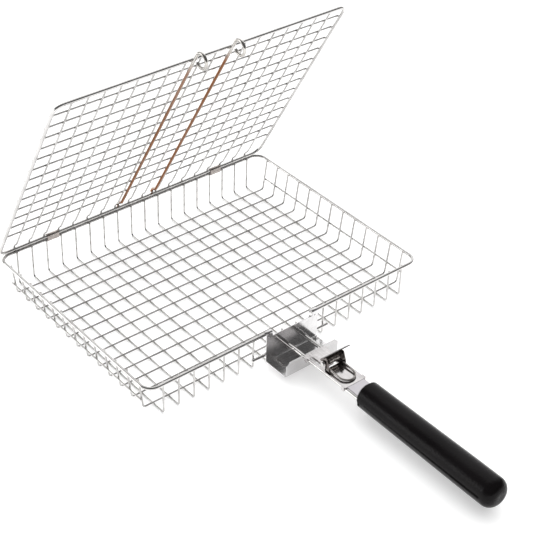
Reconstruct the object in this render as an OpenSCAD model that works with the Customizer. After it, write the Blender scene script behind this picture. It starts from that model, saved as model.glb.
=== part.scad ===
// Grill basket: a shallow wire basket with a hinged wire lid, a sheet-metal bracket on its
// front edge, and a long handle with a sprung latch.
// X runs along the basket's long side, -Y towards the handle, +Z up. The origin lies on the
// surface that the basket stands on, under the middle of the basket.

/* [Basket] */
// Length between the rim's centre lines, along X
basket_w = 320; // [300:2:340]
// Depth between the rim's centre lines, along Y
basket_d = 244; // [236:2:260]
// Height of the rim's centre line above the surface the basket stands on
rim_z = 36; // [34:1:44]
// Diameter of the rim wire, of the lid's frame wire and of the lock rods
frame_wire = 3.2; // [3:0.1:3.4]
// Radius of the rim's corners, at the wire's centre line
rim_corner = 11; // [8:1:14]
// Diameter of the mesh wires in the basket and the lid
mesh_wire = 1.8; // [1.8:0.1:2.1]
// How far the floor is inset from the rim at the left and right walls
end_lean = 4.5; // [2:0.5:8]
// Bend radius of the mesh wires where the floor turns into a wall
wall_bend = 3; // [3:0.5:6]
// Height of the long stiffener wires on the left and right walls
stiffener_z = 14; // [10:1:20]

/* [Mesh] */
// Number of wires that run front to back
cross_count = 18; // [18:2:20]
// Distance between the wires that run front to back
cross_pitch = 16.7; // [15.8:0.1:16.8]
// Number of wires that run side to side in the basket
length_count = 13; // [11:1:13]
// Distance between the wires that run side to side in the basket
length_pitch = 17.4; // [16:0.1:17.6]
// Distance between the wires that run side to side in the lid
lid_pitch = 16.9; // [16:0.1:17.2]

/* [Lid] */
// Lid opening at rest, from lying flat on the rim
lid_angle = 61; // [20:1:110]
// Depth of the lid from its hinge wire to its front wire
lid_d = 249; // [248:1:252]
// Radius of the lid frame's corners, at the wire's centre line
lid_corner = 10; // [8:1:14]
// Distance of each lock rod from the middle of the lid
lock_rod_x = 21; // [20:0.5:21.5]
// Radius of the eye at the end of each lock rod, at the wire's centre line
eye_r = 7; // [6:0.5:7.5]
// Distance from the lid's front wire to the middle of the eyes
eye_reach = 12; // [11:0.5:13]

/* [Bracket] */
// Width of the handle bracket
bracket_w = 61; // [60:1:64]
// Depth of the bracket's channel, outside
bracket_d = 30; // [29:0.5:31]
// Thickness of the bracket's sheet
sheet = 1; // [0.8:0.1:1.1]
// Height of the bracket's underside
bracket_z = 5.4; // [5:0.1:6]
// Height of the top edge of the bracket's front lip
lip_z = 22; // [21.6:0.1:22.4]
// Height of the recessed top edge, between the two tabs
recess_z = 33.2; // [31:0.1:33.4]
// Half the width of the recess
recess_half = 23.6; // [23.4:0.1:24]

/* [Handle] */
// Diameter of the two handle rods
rod_d = 4; // [3.8:0.1:4.2]
// Distance of each handle rod from the middle
rod_x = 10; // [9.8:0.1:10.4]
// Height of the handle rods' centre lines
rod_z = 20.6; // [20.4:0.1:20.9]
// Distance from the basket's middle to the grip's near end
grip_start = 225; // [222:1:235]
// Length of the grip
grip_len = 160; // [150:1:170]
// Radius of the grip at its near end
grip_r_near = 13.2; // [13:0.1:13.6]
// Radius of the grip at its thickest, near the far end
grip_r_far = 14.2; // [13.6:0.1:15]

/* [Latch] */
// Distance from the basket's middle to the latch pin
pin_u = 180; // [179:0.5:181]
// Height of the latch pin's centre line
pin_z = 30.4; // [30:0.1:30.6]
// Diameter of the latch pin
pin_d = 2.6; // [2.4:0.1:2.8]
// Diameter of the pull ring's wire
ring_wire = 2; // [1.8:0.1:2]

/* [Hidden] */
$fn = 32;

// Finishes
bright_steel = "gainsboro";
polished_steel = "silver";
dark_steel = "dimgray";
black_plastic = "black";

// Clearances: welded wires almost touch, and pieces that move past each other have a gap
weld_gap = 0.02;
running_gap = 0.05;
open_gap = 0.3;

// How a wire's straight runs meet its bends
lap = 0.06;
thinning = 0.012;

// Wires and their stacking
frame_r = frame_wire / 2;
mesh_r = mesh_wire / 2;
half_w = basket_w / 2;
half_d = basket_d / 2;
upright_inset = frame_r + mesh_r + weld_gap;
cross_z = mesh_r;
length_z = cross_z + mesh_wire + weld_gap;
tip_z = rim_z + 0.4;

// Basket uprights
cross_upright_y = half_d - upright_inset;
length_upright_x = half_w - upright_inset - 0.04;
length_floor_x = length_upright_x - end_lean;
lean_slope = end_lean / (rim_z - length_z);

// Bracket, with u the distance from the basket's middle towards the handle
plate_u = half_d + frame_r + weld_gap;
lip_u = plate_u + bracket_d;
fold_r = 2.4;
curl_r = frame_r + weld_gap;
short_tip_z = recess_z - 3;
support_z = 12;
support_u = cross_upright_y + mesh_r + frame_r + weld_gap;

// Lid, with u the distance from the hinge wire towards the lid's front wire
hinge_z = rim_z + frame_wire + open_gap;
lid_cross_v = frame_r - mesh_r;
lid_length_v = lid_cross_v + mesh_wire + weld_gap;
lid_joggle = 9;
lid_first = (lid_d - (length_count - 1) * lid_pitch) * 0.62;
lock_rod_v = -frame_wire - 0.05;
clip_len = 13.4;
clip_x = 6 * cross_pitch;
clip_wall = 0.8;

// Latch
strap_half = 11.8;
strap_z = rod_z + rod_d / 2 + weld_gap;
strap_top = strap_z + sheet;
strap_front = 155;
strap_back = 211;
ear_half = strap_half;
flange_half = ear_half - sheet - 0.4;
lever_foot_z = strap_top + 1.1;
lever_top = 36.6;
lever_wall = 0.9;
tongue_half = 6.4;
tongue_u = lip_u + 19.4;
toe_half = 5;
toe_wall = 1.2;
toe_z = lip_z - sheet - open_gap - toe_wall;
toe_reach = 3;
web_u = pin_u - 4.6;
thumb_u = pin_u - 0.6;
knee_z = lever_top - 4;
ring_u = pin_u + 4.4;
ring_z = strap_top + 2.7;
ring_half = flange_half - lever_wall - open_gap - ring_wire / 2;
ring_len = 22;
ring_tilt = 3.4;
spring_wire = 1;
spring_turns = 13;
spring_r = 3.1;

// Grip
tang_half = 9.6;
tang_z = strap_z;
tang_wall = 0.8;
rod_end = 262;
tang_end = 254;
screw_u = [276, 352];
screw_r = 1.5;
head_r = 3;
pocket_start = 268;
pocket_r = 9.8;
groove = 1.5;

function unit(v) = v / norm(v);
function left_of(v) = [-v.y, v.x];
function cross_x(i) = (i - (cross_count - 1) / 2) * cross_pitch;
function length_y(i) = (i - (length_count - 1) / 2) * length_pitch;
function turn(a, b, c) = acos(min(1, unit(b - a) * unit(c - b)));
function trim(pts, r, i) =
    i > 0 && i < len(pts) - 1 ? r * tan(turn(pts[i - 1], pts[i], pts[i + 1]) / 2) : 0;

// A round wire of diameter d in the XY plane, through pts, with each inner point bent to radius r.
// The straight runs are a hair thinner than the bends, and reach a little way into them.
module wire_path(pts, d, r) {
    for (i = [0 : len(pts) - 2]) {
        dir = unit(pts[i + 1] - pts[i]);
        start = trim(pts, r, i) - (i > 0 ? lap : 0);
        end = trim(pts, r, i + 1) - (i < len(pts) - 2 ? lap : 0);
        translate(pts[i] + dir * start)
            rotate([0, 90, atan2(dir.y, dir.x)])
                cylinder(h = norm(pts[i + 1] - pts[i]) - start - end, d = d - thinning);
    }
    for (i = [1 : max(1, len(pts) - 2)])
        if (len(pts) > 2) {
            d0 = unit(pts[i] - pts[i - 1]);
            d1 = unit(pts[i + 1] - pts[i]);
            side = cross(d0, d1) > 0 ? 1 : -1;
            angle = turn(pts[i - 1], pts[i], pts[i + 1]);
            centre = pts[i] - d0 * trim(pts, r, i) + left_of(d0) * side * r;
            from = -left_of(d0) * side;
            wire_arc(centre, r, atan2(from.y, from.x) - (side < 0 ? angle : 0), angle, d);
        }
}

// A bend of the wire: radius r about centre, from the angle start through sweep degrees
module wire_arc(centre, r, start, sweep, d) {
    translate(centre)
        rotate(start)
            rotate_extrude(angle = sweep)
                translate([r, 0])
                    circle(d = d);
}

// Closed rounded rectangle of wire, from -w/2 to w/2 in X and from y0 to y1 in Y
module wire_loop(w, y0, y1, d, r) {
    mid = (y0 + y1) / 2;
    wire_path([[-w / 2, mid], [-w / 2, y0], [w / 2, y0], [w / 2, y1], [-w / 2, y1], [-w / 2, mid]], d, r);
}

// Puts a drawing whose X is distance towards the handle, and whose Y is height, at x
module side_plane(x) {
    translate([x, 0, 0])
        rotate([90, 0, -90])
            children();
}

// Extrudes such a drawing from x0 to x1
module side_extrude(x0, x1) {
    side_plane(x1)
        linear_extrude(x1 - x0)
            children();
}

// Puts the flat lid's coordinates (X along the hinge, -Y to the lid's front) where the lid is
module at_lid() {
    translate([0, half_d, hinge_z])
        rotate([-lid_angle, 0, 0])
            children();
}

// ---- Basket ----

module rim_wire() {
    end_x = recess_half + 0.4;
    color(bright_steel)
        translate([0, 0, rim_z])
            wire_path([
                [-end_x, -half_d], [-half_w, -half_d], [-half_w, half_d],
                [half_w, half_d], [half_w, -half_d], [end_x, -half_d]
            ], frame_wire, rim_corner);
}

// One wire that runs front to back; front_tip is the height of its front end
module cross_wire(x, front_tip) {
    side_plane(x)
        wire_path([
            [-cross_upright_y, tip_z], [-cross_upright_y, cross_z],
            [cross_upright_y, cross_z], [cross_upright_y, front_tip]
        ], mesh_wire, wall_bend);
}

module cross_wires() {
    color(bright_steel)
        for (i = [0 : cross_count - 1])
            cross_wire(cross_x(i), abs(cross_x(i)) < bracket_w / 2 ? short_tip_z : tip_z);
}

module length_wires() {
    tip_x = length_upright_x + lean_slope * (tip_z - rim_z);
    color(bright_steel)
        for (i = [0 : length_count - 1])
            translate([0, length_y(i), 0])
                rotate([90, 0, 0])
                    wire_path([
                        [-tip_x, tip_z], [-length_floor_x, length_z],
                        [length_floor_x, length_z], [tip_x, tip_z]
                    ], mesh_wire, wall_bend);
}

// Straight wire along the outside of a leaning end wall; side is -1 for left and 1 for right
module stiffener(side) {
    x = length_floor_x + lean_slope * (stiffener_z - length_z) + mesh_wire + 2 * weld_gap;
    reach = length_y(length_count - 1) + 2.5;
    color(bright_steel)
        translate([side * x, -reach, stiffener_z])
            rotate([-90, 0, 0])
                cylinder(h = 2 * reach, d = mesh_wire);
}

module stiffener_left() {
    stiffener(-1);
}

module stiffener_right() {
    stiffener(1);
}

// Short wire between the front uprights and the bracket's back plate
module bracket_support_wire() {
    reach = 2.5 * cross_pitch + 3.5;
    color(bright_steel)
        translate([-reach, -support_u, support_z])
            rotate([0, 90, 0])
                cylinder(h = 2 * reach, d = frame_wire);
}

// Section of the channel: inset 0 is the outside of the sheet, inset = sheet is its inside
module channel_section(inset) {
    r = fold_r - inset;
    u0 = plate_u + inset;
    u1 = lip_u - inset;
    v0 = bracket_z + inset;
    translate([u0, v0 + r])
        square([u1 - u0, rim_z - v0 - r]);
    translate([u0 + r, v0])
        square([u1 - u0 - 2 * r, r + 0.5]);
    for (u = [u0 + r, u1 - r])
        translate([u, v0 + r])
            circle(r = r);
}

// Tab that rises from the back plate and curls over the end of the rim wire
module curl_section() {
    translate([half_d, rim_z])
        difference() {
            circle(r = curl_r + sheet);
            circle(r = curl_r);
            translate([-10, -20])
                square([20, 20]);
        }
    translate([half_d - curl_r - sheet, rim_z - 1.6])
        square([sheet, 1.62]);
    translate([plate_u, recess_z - 1])
        square([sheet, rim_z - recess_z + 1.02]);
}

module handle_bracket() {
    half = bracket_w / 2;
    corner = 3;
    color(polished_steel)
        difference() {
            union() {
                side_extrude(-half, half)
                    difference() {
                        channel_section(0);
                        channel_section(sheet);
                        translate([plate_u - 1, recess_z])
                            square([bracket_d + 2, 20]);
                        translate([plate_u + sheet + 1, lip_z])
                            square([bracket_d, 20]);
                    }
                for (x0 = [-half, recess_half])
                    side_extrude(x0, x0 + half - recess_half)
                        curl_section();
                // Tongue between the rods that the latch's toe grips from below
                translate([-tongue_half, -tongue_u, lip_z - sheet])
                    cube([2 * tongue_half, tongue_u - lip_u + 0.5, sheet]);
                // Spot welds that hold the tabs to the rim
                for (x = [-half + 3.4, half - 3.4])
                    translate([x, -plate_u - sheet + 0.2, rim_z - 3.2])
                        rotate([90, 0, 0])
                            cylinder(h = 0.5, r = 0.9);
            }
            // Sockets for the rods' tips, and notches that the rods lie in
            for (x = [-rod_x, rod_x]) {
                translate([x, -plate_u + 1, rod_z])
                    rotate([90, 0, 0])
                        cylinder(h = sheet + 2, d = rod_d + 2 * running_gap);
                translate([x, -lip_u + sheet + 1, rod_z])
                    rotate([90, 0, 0])
                        cylinder(h = sheet + 2, d = rod_d + 2 * running_gap);
                translate([x - rod_d / 2 - running_gap, -lip_u - 1, rod_z])
                    cube([rod_d + 2 * running_gap, sheet + 2, 10]);
            }
            // Clipped top corners of the lip
            for (side = [-1, 1])
                translate([side * half, -lip_u, lip_z])
                    rotate([0, 45, 0])
                        cube([corner * sqrt(2), 2 * sheet + 1, corner * sqrt(2)], center = true);
        }
}

// Sheet clip round the rim wire and the lid's hinge wire, centred on x
module hinge_clip(x) {
    r = frame_r + clip_wall;
    color(polished_steel)
        translate([x - clip_len / 2, half_d, 0])
            rotate([90, 0, 90])
                difference() {
                    linear_extrude(clip_len) {
                        for (v = [rim_z, hinge_z])
                            translate([0, v])
                                circle(r = r);
                        translate([-r, rim_z])
                            square([2 * r, hinge_z - rim_z]);
                    }
                    translate([0, rim_z, -1])
                        cylinder(h = clip_len + 2, r = frame_r + weld_gap);
                    translate([0, hinge_z, -1])
                        cylinder(h = clip_len + 2, r = frame_r + running_gap);
                }
}

module hinge_clip_left() {
    hinge_clip(-clip_x);
}

module hinge_clip_right() {
    hinge_clip(clip_x);
}

// ---- Lid ----

module lid_frame() {
    color(bright_steel)
        at_lid()
            wire_loop(basket_w, -lid_d, 0, frame_wire, lid_corner);
}

// Wires that step down from the top of the hinge wire and run to the inside of the front wire
module lid_cross_wires() {
    step_v = frame_r + mesh_r + weld_gap;
    color(bright_steel)
        at_lid()
            for (i = [0 : cross_count - 1])
                side_plane(cross_x(i))
                    wire_path([
                        [-0.6, step_v], [lid_joggle * 0.4, step_v], [lid_joggle, lid_cross_v],
                        [lid_d - frame_r - weld_gap, lid_cross_v]
                    ], mesh_wire, 3);
}

module lid_length_wires() {
    color(bright_steel)
        at_lid()
            for (i = [0 : length_count - 1])
                translate([-half_w + 0.2, -lid_first - i * lid_pitch, lid_length_v])
                    rotate([0, 90, 0])
                        cylinder(h = basket_w - 0.4, d = mesh_wire);
}

// Rod that starts on top of the hinge wire, runs under the lid's front wire and ends in an eye
module lock_rod(x) {
    eye_u = lid_d + eye_reach;
    hook = frame_wire + 0.05;
    slope = (lock_rod_v + 0.3) / (lid_d - 10);
    eye_v = -0.3 + slope * (eye_u - 10);
    tilt = atan(slope);
    color(bright_steel)
        at_lid()
            side_plane(x) {
                wire_path([
                    [0, hook], [4.2, hook], [10, -0.3],
                    [eye_u + lap, eye_v + lap * slope]
                ], frame_wire, 2.4);
                wire_arc([eye_u + eye_r * sin(tilt), eye_v - eye_r * cos(tilt)],
                         eye_r, tilt - 210, 300, frame_wire);
            }
}

module lock_rod_left() {
    lock_rod(-lock_rod_x);
}

module lock_rod_right() {
    lock_rod(lock_rod_x);
}

// ---- Handle ----

module handle_rod(x) {
    tip_u = plate_u - 0.5;
    color(bright_steel)
        translate([x, -tip_u, rod_z])
            rotate([90, 0, 0]) {
                translate([0, 0, 0.5])
                    cylinder(h = rod_end - tip_u - 0.5, d = rod_d);
                rotate_extrude()
                    intersection() {
                        union() {
                            square([rod_d / 2 - 0.5, 0.6]);
                            translate([rod_d / 2 - 0.5, 0.5])
                                circle(r = 0.5);
                        }
                        square([rod_d, 0.6]);
                    }
            }
}

module handle_rod_left() {
    handle_rod(-rod_x);
}

module handle_rod_right() {
    handle_rod(rod_x);
}

// Sheet strap on top of the rods, with tabs crimped round them and two ears for the latch pin
module latch_strap() {
    tab_drop = 4.6;
    ear_u = 5;
    color(polished_steel) {
        difference() {
            translate([-strap_half, -strap_back, strap_z])
                cube([2 * strap_half, strap_back - strap_front, sheet]);
            // Slot that the lever's toe passes through
            translate([-toe_half - 1.6, -pin_u - 1.2, strap_z - 1])
                cube([2 * toe_half + 3.2, 9.4, sheet + 2]);
            // Round-ended window over the left rod
            for (u = [163, 172.6])
                translate([-8.7, -u, strap_z - 1])
                    cylinder(h = sheet + 2, r = 2.3);
            translate([-11, -172.6, strap_z - 1])
                cube([4.6, 9.6, sheet + 2]);
        }
        for (side = [-1, 1]) {
            x = side > 0 ? strap_half + 0.25 : -strap_half - 0.25 - sheet;
            // Tabs crimped down the outside of the rods
            for (u = [158.5, 208])
                translate([x, -u - 2, strap_top - tab_drop])
                    cube([sheet, 4, tab_drop]);
            for (u = [158.5, 208])
                translate([side > 0 ? strap_half - 0.5 : -strap_half - 0.5, -u - 2, strap_z])
                    cube([1, 4, sheet]);
            // Ears
            side_extrude(side > 0 ? ear_half - sheet : -ear_half, side > 0 ? ear_half : -ear_half + sheet)
                difference() {
                    union() {
                        translate([pin_u, pin_z])
                            circle(r = 3);
                        translate([pin_u - 3, strap_top - 0.1])
                            square([6, pin_z - strap_top + 0.1]);
                        translate([pin_u - ear_u, strap_top - 0.1])
                            square([2 * ear_u - 1.6, 1.6]);
                    }
                    translate([pin_u, pin_z])
                        circle(d = pin_d + 2 * weld_gap);
                }
        }
    }
}

// Flat tang on top of the rods, behind the strap, which holds the grip
module grip_tang() {
    tang_front = strap_back + weld_gap;
    color(polished_steel)
        difference() {
            translate([-tang_half, -tang_end, tang_z])
                cube([2 * tang_half, tang_end - tang_front, tang_wall]);
            translate([0, -tang_end + 8, tang_z - 1])
                cylinder(h = tang_wall + 2, r = 2);
        }
}

module latch_pin() {
    half = ear_half + weld_gap;
    color(bright_steel)
        translate([-half, -pin_u, pin_z])
            rotate([0, 90, 0]) {
                cylinder(h = 2 * half, d = pin_d);
                for (z = [-0.9, 2 * half])
                    translate([0, 0, z])
                        cylinder(h = 0.9, r = 2);
            }
}

// Torsion spring round the pin: a close-wound sleeve with a groove between turns, and two legs
module latch_spring() {
    half = spring_turns * spring_wire / 2;
    inner = spring_r - spring_wire;
    groove_r = spring_r - 0.3;
    leg_z = spring_wire / 2 - spring_r + 0.05;
    color(dark_steel)
        translate([0, -pin_u, pin_z]) {
            rotate([0, 90, 0])
                rotate_extrude()
                    polygon(concat(
                        [[inner, half], [inner, -half]],
                        [for (i = [0 : spring_turns - 1])
                            for (p = [[groove_r, 0], [spring_r, 0.3], [spring_r, 0.7]])
                                [p.x, p.y * spring_wire + i * spring_wire - half]],
                        [[groove_r, half]]
                    ));
            // One leg leans on the strap and the other points at the lever's web
            translate([spring_wire / 2 - half, 0, 0])
                rotate([42, 0, 0])
                    translate([0, 0, leg_z])
                        rotate([90, 0, 0])
                            cylinder(h = 5.4, d = spring_wire - 0.1);
            translate([half - spring_wire / 2, 0, leg_z])
                rotate([-90, 0, 0])
                    cylinder(h = 2.9, d = spring_wire - 0.1);
        }
}

// Side outline of one lever flange
module flange_outline() {
    difference() {
        polygon([
            [web_u, lever_foot_z], [pin_u + 6.8, lever_foot_z], [pin_u + 6.8, lever_foot_z + 2.6],
            [pin_u + 3.2, lever_top], [thumb_u, lever_top], [web_u, knee_z]
        ]);
        translate([pin_u, pin_z])
            circle(d = pin_d + 2 * running_gap);
        translate([ring_u, ring_z])
            circle(d = ring_wire + 2 * running_gap);
    }
}

// Sprung lever: two flanges and a web, a sloping thumb plate that stands out on the right, and
// a toe under the strap
module latch_lever() {
    toe_tip_u = tongue_u - toe_reach;
    thumb_right = flange_half + 9.5;
    color(dark_steel) {
        for (x0 = [-flange_half, flange_half - lever_wall])
            side_extrude(x0, x0 + lever_wall)
                flange_outline();
        side_extrude(-flange_half, flange_half)
            translate([web_u, lever_foot_z])
                square([lever_wall, knee_z - lever_foot_z]);
        side_extrude(-flange_half - 1, thumb_right)
            polygon([
                [web_u, knee_z], [web_u + lever_wall * 1.4, knee_z],
                [thumb_u + lever_wall * 1.4, lever_top], [thumb_u + lever_wall * 0.7, lever_top + lever_wall * 0.7],
                [web_u, knee_z + 0.5]
            ]);
        side_extrude(-toe_half, toe_half) {
            translate([web_u, toe_z])
                square([lever_wall, lever_foot_z + 0.1 - toe_z]);
            translate([toe_tip_u, toe_z])
                square([web_u + lever_wall - toe_tip_u, toe_wall]);
        }
    }
}

// Wire loop that pulls the latch; its two ends turn out through the lever's flanges
module pull_ring() {
    end_x = flange_half + 0.25;
    color(bright_steel)
        translate([0, -ring_u, ring_z])
            rotate([ring_tilt, 0, 0])
                wire_ring(end_x);
}

module wire_ring(end_x) {
    wire_path([[end_x, 0], [ring_half, 0], [ring_half, -4]], ring_wire, 1.2);
    wire_path([[-end_x, 0], [-ring_half, 0], [-ring_half, -4]], ring_wire, 1.2);
    for (x = [-ring_half, ring_half])
        translate([x, -4, 0])
            rotate([90, 0, 0])
                cylinder(h = ring_len - ring_half - 4, d = ring_wire);
    wire_arc([0, -(ring_len - ring_half)], ring_half, 180, 180, ring_wire);
}

// ---- Grip ----

// Half section of the grip's outside: X is the radius, Y the distance from the near end
module grip_section() {
    nose_r = 10;
    swell = grip_len * 0.8;
    chamfer = 2;
    polygon([
        [0, 0], [grip_r_near - chamfer, 0], [grip_r_near, chamfer],
        [grip_r_far, swell], [grip_r_far, grip_len - nose_r], [0, grip_len - nose_r]
    ]);
    translate([grip_r_far - nose_r, grip_len - nose_r])
        intersection() {
            circle(r = nose_r, $fn = 64);
            square(nose_r);
        }
    translate([0, grip_len - nose_r - 0.1])
        square([grip_r_far - nose_r + 0.01, nose_r + 0.1]);
}

module at_grip() {
    translate([0, -grip_start, rod_z])
        rotate([90, 0, 0])
            children();
}

// Everything that both shells leave room for
module grip_voids() {
    // Channels for the rods, and the slit for the tang
    for (x = [-rod_x, rod_x])
        translate([x, -grip_start + 1, rod_z])
            rotate([90, 0, 0])
                cylinder(h = rod_end - grip_start + 1.5, d = rod_d + 2 * weld_gap);
    translate([-tang_half - weld_gap, -tang_end - 0.5, tang_z - weld_gap])
        cube([2 * (tang_half + weld_gap), tang_end - grip_start + 2, tang_wall + 2 * weld_gap]);
    // Hollow behind the rods, left solid round the screws
    difference() {
        at_grip()
            translate([0, 0, pocket_start - grip_start])
                cylinder(h = grip_len - (pocket_start - grip_start) - 9, r = pocket_r);
        for (u = screw_u)
            translate([0, -u, rod_z - pocket_r - 1])
                cylinder(h = 2 * pocket_r + 2, r = 4.5);
    }
    // Groove along the parting line
    for (side = [-1, 1])
        translate([side * (grip_r_far + 0.6), -grip_start - grip_len / 2, rod_z])
            rotate([0, 45, 0])
                cube([2.6, grip_len - 22, 2.6], center = true);
}

module grip_upper_shell() {
    color(black_plastic)
        difference() {
            at_grip()
                rotate_extrude($fn = 64)
                    grip_section();
            translate([-30, -grip_start - grip_len - 5, rod_z - 60 + weld_gap / 2])
                cube([60, grip_len + 10, 60]);
            grip_voids();
            for (u = screw_u)
                translate([0, -u, rod_z - 1])
                    cylinder(h = 8, r = screw_r + weld_gap);
        }
}

module grip_lower_shell() {
    color(black_plastic)
        difference() {
            at_grip()
                rotate_extrude($fn = 64)
                    grip_section();
            translate([-30, -grip_start - grip_len - 5, rod_z - weld_gap / 2])
                cube([60, grip_len + 10, 60]);
            grip_voids();
            // Clearance holes and counterbores for the screws
            for (u = screw_u) {
                translate([0, -u, rod_z - 20])
                    cylinder(h = 21, r = screw_r + weld_gap);
                translate([0, -u, rod_z - 20])
                    cylinder(h = 20 - 6, r = head_r + weld_gap);
            }
            // Relief notch at the near end, on the left
            translate([-grip_r_near - 1, -grip_start - 5, rod_z - 5])
                cube([3.2, 6, 5.1]);
        }
}

module grip_screws() {
    color(dark_steel)
        for (u = screw_u)
            translate([0, -u, rod_z - 8.2])
                difference() {
                    union() {
                        cylinder(h = 2.2, r = head_r);
                        cylinder(h = 8.2 + 6, r = screw_r);
                    }
                    for (a = [0, 90])
                        rotate(a)
                            translate([-1.8, -0.35, -1])
                                cube([3.6, 0.7, 1.9]);
                }
}

rim_wire();
cross_wires();
length_wires();
stiffener_left();
stiffener_right();
bracket_support_wire();
handle_bracket();
hinge_clip_left();
hinge_clip_right();
lid_frame();
lid_cross_wires();
lid_length_wires();
lock_rod_left();
lock_rod_right();
handle_rod_left();
handle_rod_right();
latch_strap();
grip_tang();
latch_pin();
latch_spring();
latch_lever();
pull_ring();
grip_upper_shell();
grip_lower_shell();
grip_screws();
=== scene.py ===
import math
import random

import bmesh
import bpy
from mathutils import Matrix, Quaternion, Vector


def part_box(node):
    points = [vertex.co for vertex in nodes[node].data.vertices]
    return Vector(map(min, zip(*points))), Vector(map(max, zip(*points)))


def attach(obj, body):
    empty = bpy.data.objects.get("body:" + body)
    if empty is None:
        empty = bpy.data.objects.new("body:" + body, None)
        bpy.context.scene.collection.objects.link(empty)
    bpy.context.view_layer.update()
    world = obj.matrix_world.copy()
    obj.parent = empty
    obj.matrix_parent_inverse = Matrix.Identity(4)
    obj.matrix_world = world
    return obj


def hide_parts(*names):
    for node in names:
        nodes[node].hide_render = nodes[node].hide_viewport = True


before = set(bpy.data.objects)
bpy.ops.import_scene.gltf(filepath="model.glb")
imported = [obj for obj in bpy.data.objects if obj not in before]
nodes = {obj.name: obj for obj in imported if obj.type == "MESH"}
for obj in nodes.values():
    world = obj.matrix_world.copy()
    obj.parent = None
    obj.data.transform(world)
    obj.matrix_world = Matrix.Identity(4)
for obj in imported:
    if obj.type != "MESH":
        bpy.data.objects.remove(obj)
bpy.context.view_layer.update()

MM = 0.001


# ---------------------------------------------------------------- materials

class Shade:
    """A small builder for one procedural material."""

    def __init__(self, name):
        self.mat = bpy.data.materials.new(name)
        self.mat.use_nodes = True
        self.tree = self.mat.node_tree
        self.tree.nodes.clear()
        out = self.tree.nodes.new("ShaderNodeOutputMaterial")
        self.bsdf = self.tree.nodes.new("ShaderNodeBsdfPrincipled")
        self.link(self.bsdf.outputs[0], out.inputs["Surface"])
        coord = self.tree.nodes.new("ShaderNodeTexCoord")
        self.coord = coord.outputs["Object"]
        self.normal = coord.outputs["Normal"]

    def link(self, a, b):
        self.tree.links.new(a, b)

    def put(self, socket, value):
        """Links another socket, or sets a constant."""
        if isinstance(value, bpy.types.NodeSocket):
            self.link(value, socket)
        else:
            socket.default_value = value

    def set(self, **values):
        """The shader's own inputs by name, with _ for a space."""
        for key, value in values.items():
            self.put(self.bsdf.inputs[key.replace("_", " ")], value)

    def scaled(self, scale, rotation=(0, 0, 0)):
        """Object coordinates, in metres, scaled along each axis and turned."""
        n = self.tree.nodes.new("ShaderNodeMapping")
        self.link(self.coord, n.inputs["Vector"])
        n.inputs["Scale"].default_value = scale
        n.inputs["Rotation"].default_value = rotation
        return n.outputs[0]

    def axis(self, name):
        """One axis of the object coordinates, in metres."""
        n = self.tree.nodes.new("ShaderNodeSeparateXYZ")
        self.link(self.coord, n.inputs[0])
        return n.outputs[name]

    def facing(self, way):
        """How squarely the surface faces along a direction of the object, either way: 0 to 1."""
        n = self.tree.nodes.new("ShaderNodeVectorMath")
        n.operation = "DOT_PRODUCT"
        n.inputs[1].default_value = way
        self.link(self.normal, n.inputs[0])
        return self.math("ABSOLUTE", n.outputs["Value"])

    def noise(self, scale, detail=3, rough=0.5, vector=None, distortion=0):
        n = self.tree.nodes.new("ShaderNodeTexNoise")
        self.link(vector or self.coord, n.inputs["Vector"])
        n.inputs["Scale"].default_value = scale
        n.inputs["Detail"].default_value = detail
        n.inputs["Roughness"].default_value = rough
        n.inputs["Distortion"].default_value = distortion
        return n.outputs["Fac"]

    def cells(self, scale):
        """Distance to the nearest of many scattered points, for specks and pits."""
        n = self.tree.nodes.new("ShaderNodeTexVoronoi")
        self.link(self.coord, n.inputs["Vector"])
        n.inputs["Scale"].default_value = scale
        return n.outputs["Distance"]

    def ramp(self, fac, stops):
        """A straight ramp between two stops, each a position with a colour or a grey."""
        n = self.tree.nodes.new("ShaderNodeValToRGB")
        for element, (position, tone) in zip(n.color_ramp.elements, stops):
            element.position = position
            element.color = (*tone, 1) if isinstance(tone, tuple) else (tone, tone, tone, 1)
        self.link(fac, n.inputs[0])
        return n.outputs[0]

    def remap(self, fac, low, high, start=0.3, end=0.7):
        """Goes from low to high while fac goes from start to end."""
        n = self.tree.nodes.new("ShaderNodeMapRange")
        self.link(fac, n.inputs["Value"])
        n.inputs["From Min"].default_value = start
        n.inputs["From Max"].default_value = end
        n.inputs["To Min"].default_value = low
        n.inputs["To Max"].default_value = high
        return n.outputs[0]

    def math(self, operation, a, b=0.0):
        n = self.tree.nodes.new("ShaderNodeMath")
        n.operation = operation
        self.put(n.inputs[0], a)
        self.put(n.inputs[1], b)
        return n.outputs[0]

    def blend(self, a, part_a, b, part_b):
        """a and b added, each times its own part."""
        return self.math("ADD", self.math("MULTIPLY", a, part_a), self.math("MULTIPLY", b, part_b))

    def mix(self, fac, tone, other):
        """A linked tone that goes over to another colour where fac is 1."""
        n = self.tree.nodes.new("ShaderNodeMix")
        n.data_type = "RGBA"
        color_a, color_b, color_out = n.inputs[6], n.inputs[7], n.outputs[2]
        self.put(n.inputs["Factor"], fac)
        self.put(color_a, tone)
        self.put(color_b, (*other, 1))
        return color_out

    def bump(self, height, strength, distance):
        n = self.tree.nodes.new("ShaderNodeBump")
        n.inputs["Strength"].default_value = strength
        n.inputs["Distance"].default_value = distance
        self.link(height, n.inputs["Height"])
        self.link(n.outputs[0], self.bsdf.inputs["Normal"])


# A lock rod's two flanks face along this: about square to the rod and to the camera's line of
# sight; the rods' painted reflection is weakest on them
ROD_FLANK = (0.48, -0.77, -0.42)
# The rods' painted reflection, a warm brown, and the heights between which it ends, below the eyes
ROD_REFLECTION_TONE = (0.27, 0.115, 0.05)
ROD_REFLECTION_TOP = (0.242, 0.256)
# Depth over which a sheet's darker front gives way to its usual surface
DARK_FRONT_FADE = 0.005


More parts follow.
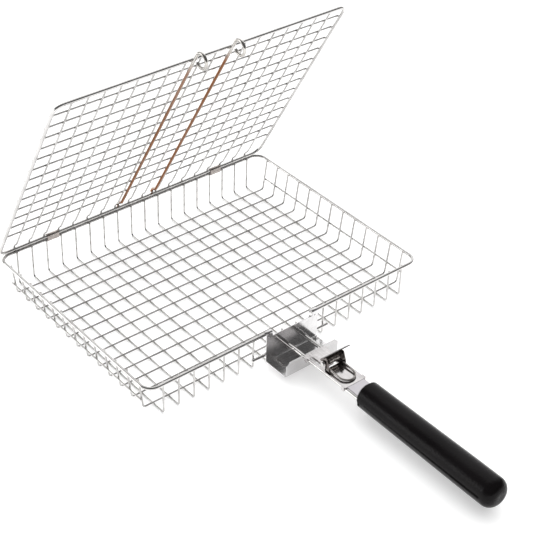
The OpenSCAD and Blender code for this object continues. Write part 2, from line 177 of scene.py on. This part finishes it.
def wire_steel(name, light, dark, rough, painted_reflection=False):
    """Polished stainless wire: bright, with cloudy handling marks and fine draw lines.

    With painted_reflection, a warm brown painted reflection lies in patches along its stem, least
    on its flanks.
    """
    s = Shade(name)
    clouds = s.noise(48, 4, 0.6)
    fine = s.noise(1100, 2, 0.5)
    specks = s.ramp(s.cells(620), [(0.05, 1.0), (0.12, 0.0)])
    tone = s.ramp(clouds, [(0.3, dark), (0.62, light)])
    tone = s.mix(s.math("MULTIPLY", specks, 0.35), tone, (0.22, 0.2, 0.18))
    if painted_reflection:
        # Painted reflection: warm brown patches on the stem, strongest where the rod faces square
        # to the view, faint on its flanks, which stay light
        patches = s.noise(30, 3, 0.55, s.scaled((1, 0.4, 0.4)))
        patches = s.ramp(patches, [(0.25, 0.75), (0.55, 1.0)])
        stem = s.remap(s.axis("Z"), 1.0, 0.0, *ROD_REFLECTION_TOP)
        core = s.ramp(s.facing(ROD_FLANK), [(0.5, 1.0), (0.85, 0.42)])
        rod_reflection = s.math("MULTIPLY", s.math("MULTIPLY", patches, stem), core)
        tone = s.mix(rod_reflection, tone, ROD_REFLECTION_TONE)
    s.set(Base_Color=tone, Metallic=1.0, IOR=2.6,
          Roughness=s.remap(s.blend(clouds, 0.6, fine, 0.4), *rough))
    s.bump(fine, 0.1, 0.00006)
    return s.mat


def sheet_steel(name, light, dark, along, rough=(0.14, 0.32), streak=0.16, dark_front=None):
    """Cold-rolled sheet with rolling lines along one axis, smudges and small scratches.

    It is darker, in smudged patches, in front of y = dark_front.
    """
    s = Shade(name)
    stretch = [2600.0, 2600.0, 2600.0]
    stretch[along] = 45.0
    lines = s.noise(1.0, 3, 0.65, s.scaled(tuple(stretch)))
    smudge = s.noise(70, 4, 0.6, distortion=0.4)
    scratch = s.noise(1.0, 2, 0.5, s.scaled((240, 1500, 1500), (0.2, 0.4, 0.6)), distortion=0.2)
    scratch = s.ramp(scratch, [(0.66, 0.0), (0.7, 1.0)])
    tone = s.ramp(s.blend(lines, 0.45, smudge, 0.55), [(0.32, dark), (0.66, light)])
    tone = s.mix(s.math("MULTIPLY", scratch, 0.4), tone, (0.86, 0.86, 0.85))
    if dark_front:
        front = s.remap(s.axis("Y"), 0.85, 0.0, dark_front, dark_front + DARK_FRONT_FADE)
        tone = s.mix(s.math("MULTIPLY", front, smudge), tone, (0.36, 0.35, 0.35))
    s.set(Base_Color=tone, Metallic=1.0, IOR=2.6,
          Roughness=s.remap(s.blend(lines, 0.5, smudge, 0.5), *rough))
    s.bump(s.math("SUBTRACT", lines, s.math("MULTIPLY", scratch, 0.6)), streak, 0.00006)
    return s.mat


def hard_steel(name, light, dark, rough=(0.2, 0.42)):
    """Spring steel, welds and screw heads: mottled, with small pits."""
    s = Shade(name)
    spots = s.noise(420, 4, 0.6)
    pits = s.ramp(s.cells(900), [(0.08, 0.0), (0.3, 1.0)])
    s.set(Base_Color=s.ramp(spots, [(0.3, dark), (0.7, light)]), Metallic=1.0, IOR=2.4,
          Roughness=s.remap(spots, *rough))
    s.bump(s.math("ADD", spots, s.math("MULTIPLY", pits, 0.5)), 0.15, 0.0001)
    return s.mat


def black_grip(name):
    """Black moulding: a leathery grain and fine stipple under a soft gloss, with faint scuffs."""
    s = Shade(name)
    stipple = s.cells(780)
    grain = s.noise(1500, 2, 0.6)
    leather = s.noise(620, 2, 0.6, distortion=0.4)
    waves = s.noise(34, 3, 0.5, s.scaled((1, 0.4, 1)))
    scuff = s.noise(1.0, 5, 0.7, s.scaled((900, 60, 900)), distortion=0.3)
    scuff = s.ramp(scuff, [(0.62, 0.0), (0.75, 1.0)])
    base = s.ramp(waves, [(0.35, (0.005, 0.0042, 0.0046)), (0.7, (0.009, 0.0078, 0.0083))])
    base = s.mix(s.math("MULTIPLY", scuff, 0.22), base, (0.04, 0.036, 0.038))
    s.set(Base_Color=base, Metallic=0.0, IOR=1.2,
          Roughness=s.remap(s.blend(waves, 0.7, scuff, 0.2), 0.07, 0.16))
    s.bump(s.math("ADD", s.blend(stipple, 0.5, grain, 0.3), leather), 0.8, 0.00022)
    return s.mat


# The bracket's lip and tongue lie in front of this, a little behind the strap's back end
LIP_BEHIND_STRAP = 0.004
lip_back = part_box("latch_strap")[1][1] + LIP_BEHIND_STRAP

frame_mat = wire_steel("polished_frame", (0.72, 0.71, 0.7), (0.54, 0.53, 0.52), (0.04, 0.11))
mesh_mat = wire_steel("polished_mesh", (0.62, 0.61, 0.6), (0.44, 0.43, 0.42), (0.05, 0.13))
rod_mat = wire_steel("lock_rod_steel", (0.7, 0.68, 0.65), (0.5, 0.48, 0.45), (0.05, 0.12),
                     painted_reflection=True)
# The pull ring is the polished wire painted darker: painted shade for the dark outlines it shows
shaded_ring_mat = wire_steel("ring_steel_painted_shade", (0.5, 0.48, 0.46), (0.3, 0.28, 0.27), (0.03, 0.09))
bracket_mat = sheet_steel("bracket_steel", (0.84, 0.83, 0.83), (0.64, 0.63, 0.635), 0,
                          (0.1, 0.24), streak=0.1, dark_front=lip_back)
clip_mat = sheet_steel("clip_steel", (0.6, 0.55, 0.52), (0.36, 0.32, 0.3), 0)
strap_mat = sheet_steel("strap_steel", (0.72, 0.7, 0.7), (0.5, 0.48, 0.48), 1,
                        (0.06, 0.18), streak=0.1)
# The lever's steel is painted near black: painted shade for the shade in the lever and the dark it
# mirrors
shaded_lever_mat = sheet_steel("lever_steel_painted_shade", (0.26, 0.235, 0.225), (0.12, 0.105, 0.1), 0, (0.1, 0.24))
tang_mat = sheet_steel("tang_steel", (0.72, 0.69, 0.72), (0.56, 0.54, 0.57), 1, (0.34, 0.5))
spring_mat = hard_steel("spring_wire", (0.62, 0.58, 0.55), (0.34, 0.31, 0.29), (0.12, 0.26))
screw_mat = hard_steel("screw_steel", (0.34, 0.33, 0.32), (0.16, 0.155, 0.15))
weld_mat = hard_steel("weld_metal", (0.68, 0.65, 0.62), (0.44, 0.41, 0.39), (0.22, 0.4))
grip_mat = black_grip("grip_moulding")

finishes = {
    "rim_wire": frame_mat, "lid_frame": frame_mat, "bracket_support_wire": frame_mat,
    "cross_wires": mesh_mat, "length_wires": mesh_mat, "stiffener_left": mesh_mat,
    "stiffener_right": mesh_mat, "lid_cross_wires": mesh_mat, "lid_length_wires": mesh_mat,
    "lock_rod_left": rod_mat, "lock_rod_right": rod_mat,
    "handle_rod_left": frame_mat, "handle_rod_right": frame_mat, "pull_ring": shaded_ring_mat,
    "latch_pin": frame_mat, "handle_bracket": bracket_mat, "hinge_clip_left": clip_mat,
    "hinge_clip_right": clip_mat, "latch_strap": strap_mat, "grip_tang": tang_mat,
    "latch_lever": shaded_lever_mat, "latch_spring": spring_mat, "grip_screws": screw_mat,
    "grip_upper_shell": grip_mat, "grip_lower_shell": grip_mat,
}
for name, material in finishes.items():
    for slot in nodes[name].material_slots:
        slot.material = material


# ---------------------------------------------------------------- pieces

def place(name, mesh, material, body):
    """A smooth-shaded object from the mesh, riding on a body."""
    for face in mesh.polygons:
        face.use_smooth = True
    mesh.materials.append(material)
    ob = bpy.data.objects.new(name, mesh)
    bpy.context.scene.collection.objects.link(ob)
    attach(ob, body)
    return ob


def tube(bm, points, radius, sides):
    """A round wire through the points, with domed ends."""
    pts = [Vector(p) for p in points]
    first = (pts[1] - pts[0]).normalized()
    last = (pts[-1] - pts[-2]).normalized()
    # Each dome ring: how far it lies past the end, and its radius
    dome = [(radius * math.sin(math.radians(a)) * 0.8, radius * math.cos(math.radians(a)))
            for a in (25, 50, 80)]
    rings = [(pts[0] - first * past, r) for past, r in reversed(dome)]
    rings += [(p, radius) for p in pts]
    rings += [(pts[-1] + last * past, r) for past, r in dome]
    centres = [centre for centre, _ in rings]
    ways = [(after - before).normalized()
            for before, after in zip(centres[:1] + centres[:-1], centres[1:] + centres[-1:])]
    normal = ways[0].orthogonal().normalized()
    loops = []
    for (centre, r), way in zip(rings, ways):
        normal = (normal - way * normal.dot(way)).normalized()
        side = way.cross(normal)
        turns = [2 * math.pi * k / sides for k in range(sides)]
        loops.append([bm.verts.new(centre + (normal * math.cos(t) + side * math.sin(t)) * r)
                      for t in turns])
    for a, b in zip(loops, loops[1:]):
        for k in range(sides):
            bm.faces.new((a[k], a[(k + 1) % sides], b[(k + 1) % sides], b[k]))
    bm.faces.new(loops[0])
    bm.faces.new(loops[-1])


rng = random.Random(7)


def weld_piece(name, spots, body):
    """One mesh of small irregular welds.

    Each spot is a place, the way its flat side faces, its reach and its height: a squashed ball.
    """
    ball = bmesh.new()
    bmesh.ops.create_uvsphere(ball, u_segments=8, v_segments=6, radius=1)
    shape = [v.co.copy() for v in ball.verts]
    polygons = [[v.index for v in f.verts] for f in ball.faces]
    ball.free()
    verts, faces = [], []
    for at, normal, reach, height in spots:
        spin = Vector(normal).to_track_quat("Z", "Y")
        spin = spin @ Quaternion((0, 0, 1), rng.uniform(0, math.pi))
        wide, deep = reach * rng.uniform(0.9, 1.12), reach * rng.uniform(0.9, 1.12)
        base = len(verts)
        verts += [Vector(at) + spin @ Vector((v.x * wide, v.y * deep, v.z * height))
                  for v in shape]
        faces += [[base + i for i in p] for p in polygons]
    mesh = bpy.data.meshes.new(name)
    mesh.from_pydata(verts, [], faces)
    return place(name, mesh, weld_mat, body)


def corners(node):
    """The low and the high corner of a CAD node's box."""
    return tuple(Vector(corner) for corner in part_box(node))


# Reach and height of a weld where mesh wires cross, at a stiffener, and where a wire meets the
# rim, the lid's front wire or a lock rod
CROSSING_WELD = (0.00092, 0.00052)
STIFFENER_WELD = (0.0009, 0.0005)
RIM_WELD = (0.001, 0.0005)
LID_FRONT_WELD = (0.0011, 0.0006)
LOCK_ROD_WELD = (0.0013, 0.0006)
# Clearance between wires in the CAD, and how far a rim weld sits below the rim's centre line
GAP = 0.00002
RIM_WELD_DROP = 0.0003
CROSS_COUNT = 18
LENGTH_COUNT = 13

# Where the wires run, from the CAD nodes' own boxes
low, high = corners("stiffener_left")
mesh_d = high.z - low.z
low, high = corners("bracket_support_wire")
frame_d = high.z - low.z
low, high = corners("cross_wires")
cross_step = (high.x - low.x - mesh_d) / (CROSS_COUNT - 1)
cross_at = [low.x + mesh_d / 2 + i * cross_step for i in range(CROSS_COUNT)]
low, high = corners("length_wires")
length_step = (high.y - low.y - mesh_d) / (LENGTH_COUNT - 1)
length_at = [low.y + mesh_d / 2 + i * length_step for i in range(LENGTH_COUNT)]
low, high = corners("rim_wire")
rim_x, rim_y, rim_z = high.x - frame_d / 2, high.y - frame_d / 2, (low.z + high.z) / 2
bracket_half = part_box("handle_bracket")[1][0]

spots = []
weld_z = rim_z - RIM_WELD_DROP
for x in cross_at:
    for y in length_at:
        spots.append(((x, y, mesh_d + GAP / 2), (0, 0, 1), *CROSSING_WELD))
    spots.append(((x, rim_y - frame_d / 2, weld_z), (0, 1, 0), *RIM_WELD))
    if abs(x) > bracket_half:
        spots.append(((x, -rim_y + frame_d / 2, weld_z), (0, 1, 0), *RIM_WELD))
for y in length_at:
    for side in (-1, 1):
        spots.append(((side * (rim_x - frame_d / 2 - GAP), y, weld_z), (1, 0, 0), *RIM_WELD))
for name, side in (("stiffener_left", 1), ("stiffener_right", -1)):
    low, high = corners(name)
    x, z = (low.x + high.x) / 2 + side * mesh_d / 2, (low.z + high.z) / 2
    for y in length_at:
        spots.append(((x, y, z), (1, 0, 0), *STIFFENER_WELD))
low, high = corners("bracket_support_wire")
for x in cross_at:
    if low.x < x < high.x:
        spots.append(((x, high.y, (low.z + high.z) / 2), (0, 1, 0), *RIM_WELD))
weld_piece("basket_welds", spots, "basket")

# The lid: u runs from the hinge wire to the front wire, v stands on its outer side
LID_ANGLE = math.radians(61)
LID_DEPTH = 0.249
LID_STEP = 0.0169
# The rows leave part of the lid's depth free, and this share of it lies at the hinge
LID_HINGE_SHARE = 0.62
HINGE_CLEARANCE = 0.0003
LID_FRONT_WELD_RISE = 0.0004
LOCK_ROD_X = 0.021
hinge = Vector((0, rim_y, rim_z + frame_d + HINGE_CLEARANCE))
lid_u = Vector((0, -math.cos(LID_ANGLE), math.sin(LID_ANGLE)))
lid_v = Vector((0, math.sin(LID_ANGLE), math.cos(LID_ANGLE)))
lid_row_v = frame_d / 2 + GAP / 2
lid_first = (LID_DEPTH - (LENGTH_COUNT - 1) * LID_STEP) * LID_HINGE_SHARE
lid_rows = [lid_first + j * LID_STEP for j in range(LENGTH_COUNT)]


def on_lid(x, u, v):
    """A point of the lid in the shared frame."""
    return hinge + Vector((x, 0, 0)) + lid_u * u + lid_v * v


spots = []
for x in cross_at:
    for u in lid_rows:
        spots.append((on_lid(x, u, lid_row_v), lid_v, *CROSSING_WELD))
    spots.append((on_lid(x, 0, lid_row_v), lid_v, *RIM_WELD))
    spots.append((on_lid(x, LID_DEPTH - frame_d / 2, LID_FRONT_WELD_RISE), lid_u, *LID_FRONT_WELD))
for u in lid_rows:
    for side in (-1, 1):
        spots.append((on_lid(side * rim_x, u, lid_row_v), lid_v, *RIM_WELD))
for x in (-LOCK_ROD_X, LOCK_ROD_X):
    spots.append((on_lid(x, 0, frame_d / 2), lid_v, *LOCK_ROD_WELD))
    spots.append((on_lid(x, LID_DEPTH, -frame_d / 2), lid_v, *LOCK_ROD_WELD))
weld_piece("lid_welds", spots, "lid")

# The torsion spring as a real coil: one leg lies on the strap, the other pushes on the lever
COIL_RADIUS = 0.00258
COIL_HALF = 0.006
COIL_TURNS = 13
COIL_STEPS = 360
COIL_START = math.radians(42)
SPRING_WIRE_RADIUS = 0.00046
STRAP_LEG = 0.0046
LEVER_LEG = 0.0025
low, high = corners("latch_pin")
pin_y, pin_z = (low.y + high.y) / 2, (low.z + high.z) / 2
sweep = COIL_TURNS * 2 * math.pi - COIL_START
points = []
for i in range(COIL_STEPS + 1):
    t = i / COIL_STEPS
    a = COIL_START + t * sweep
    points.append((-COIL_HALF + 2 * COIL_HALF * t,
                   pin_y + COIL_RADIUS * math.sin(a), pin_z - COIL_RADIUS * math.cos(a)))
strap_way = Vector((0, -math.cos(COIL_START), -math.sin(COIL_START)))
foot = Vector(points[0]) + strap_way * STRAP_LEG
arm = Vector(points[-1]) + Vector((0, LEVER_LEG, 0))
bm = bmesh.new()
tube(bm, [foot] + points + [arm], SPRING_WIRE_RADIUS, sides=10)
mesh = bpy.data.meshes.new("spring_coil")
bmesh.ops.recalc_face_normals(bm, faces=bm.faces)
bm.to_mesh(mesh)
bm.free()
spring = place("spring_coil", mesh, spring_mat, "handle")
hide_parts("latch_spring")

# Sheet edges are rolled over a little, as after tumbling, by these widths in mm
rolled = {"handle_bracket": 0.22, "latch_strap": 0.2, "latch_lever": 0.18, "grip_tang": 0.15,
          "hinge_clip_left": 0.15, "hinge_clip_right": 0.15}
for name, width in rolled.items():
    merge = nodes[name].modifiers.new("join", "WELD")
    merge.merge_threshold = 0.000002
    bevel = nodes[name].modifiers.new("edge", "BEVEL")
    bevel.width = width * MM
    bevel.segments = 2
    bevel.limit_method = "ANGLE"
    bevel.angle_limit = math.radians(50)
    bevel.harden_normals = True


# ---------------------------------------------------------------- stage

world = bpy.data.worlds.new("studio")
bpy.context.scene.world = world
world.use_nodes = True
wt = world.node_tree
wt.nodes.clear()
w_out = wt.nodes.new("ShaderNodeOutputWorld")
w_bg = wt.nodes.new("ShaderNodeBackground")
w_coord = wt.nodes.new("ShaderNodeTexCoord")
wt.links.new(w_bg.outputs[0], w_out.inputs["Surface"])


def glow(way, start, end, low=0.0, high=1.0):
    """Goes from low to high while the sky's reach along way goes from start to end."""
    dot = wt.nodes.new("ShaderNodeVectorMath")
    dot.operation = "DOT_PRODUCT"
    dot.inputs[1].default_value = Vector(way).normalized()
    wt.links.new(w_coord.outputs["Generated"], dot.inputs[0])
    m = wt.nodes.new("ShaderNodeMapRange")
    m.interpolation_type = "SMOOTHSTEP"
    for key, value in (("From Min", start), ("From Max", end), ("To Min", low), ("To Max", high)):
        m.inputs[key].default_value = value
    wt.links.new(dot.outputs["Value"], m.inputs["Value"])
    return m.outputs[0]


def combine(operation, a, b, c=0.0):
    """One Math node of the sky."""
    n = wt.nodes.new("ShaderNodeMath")
    n.operation = operation
    for socket, value in zip(n.inputs, (a, b, c)):
        if isinstance(value, bpy.types.NodeSocket):
            wt.links.new(value, socket)
        else:
            socket.default_value = value
    return n.outputs[0]


# A broad bright tent behind, a narrow strip low on its left, dark between them and just over
# the horizon, and pale under it, where the floor ends
tent = glow((0.5, 0.62, 0.6), 0.6, 0.9, 0.0, 1.05)
strip = glow((-0.77, 0.62, 0.16), 0.93, 0.985, 0.0, 2.8)
ground = glow((0, 0, -1), -0.05, -0.02, 0.13, 1.0)
above = glow((0, 0, 1), 0.0, 0.1)
sky = combine("MULTIPLY_ADD", combine("ADD", tent, strip), above, ground)
wt.links.new(sky, w_bg.inputs["Color"])

# A very wide overhead light brightens the floor, and the metal mirrors only the sky and floor
key_data = bpy.data.lights.new("key", "SUN")
key_data.energy = 2.2
key_data.angle = math.radians(110)
key = bpy.data.objects.new("key", key_data)
bpy.context.scene.collection.objects.link(key)
key.rotation_euler = (math.radians(-8), math.radians(6), 0)
key.visible_glossy = False

# The floor gives a little light of its own, so that shadows on it stay pale
bm = bmesh.new()
bmesh.ops.create_circle(bm, cap_ends=True, radius=14.0, segments=96)
floor_mesh = bpy.data.meshes.new("floor")
bm.to_mesh(floor_mesh)
bm.free()
floor = bpy.data.objects.new("floor", floor_mesh)
bpy.context.scene.collection.objects.link(floor)
paper = Shade("floor_paper")
paper.set(Base_Color=paper.ramp(paper.noise(3, 2, 0.5), [(0.3, 0.9), (0.7, 0.92)]),
          Roughness=0.9, IOR=1.3, Emission_Color=(1, 1, 1, 1), Emission_Strength=0.35)
floor_mesh.materials.append(paper.mat)

cam_data = bpy.data.cameras.new("camera")
camera = bpy.data.objects.new("camera", cam_data)
bpy.context.scene.collection.objects.link(camera)
bpy.context.scene.camera = camera
cam_data.sensor_width = 36.0
cam_data.lens = 96.714
camera.location = (-0.68639, -0.8853, 0.84558)
aim = Vector((0.050641, -0.025736, 0.02))
roll = Quaternion((0, 0, 1), math.radians(2.1314))
camera.rotation_mode = "QUATERNION"
camera.rotation_quaternion = (aim - camera.location).to_track_quat("-Z", "Y") @ roll
cam_data.clip_start = 0.05
cam_data.clip_end = 20

bpy.context.scene.view_settings.view_transform = "Standard"
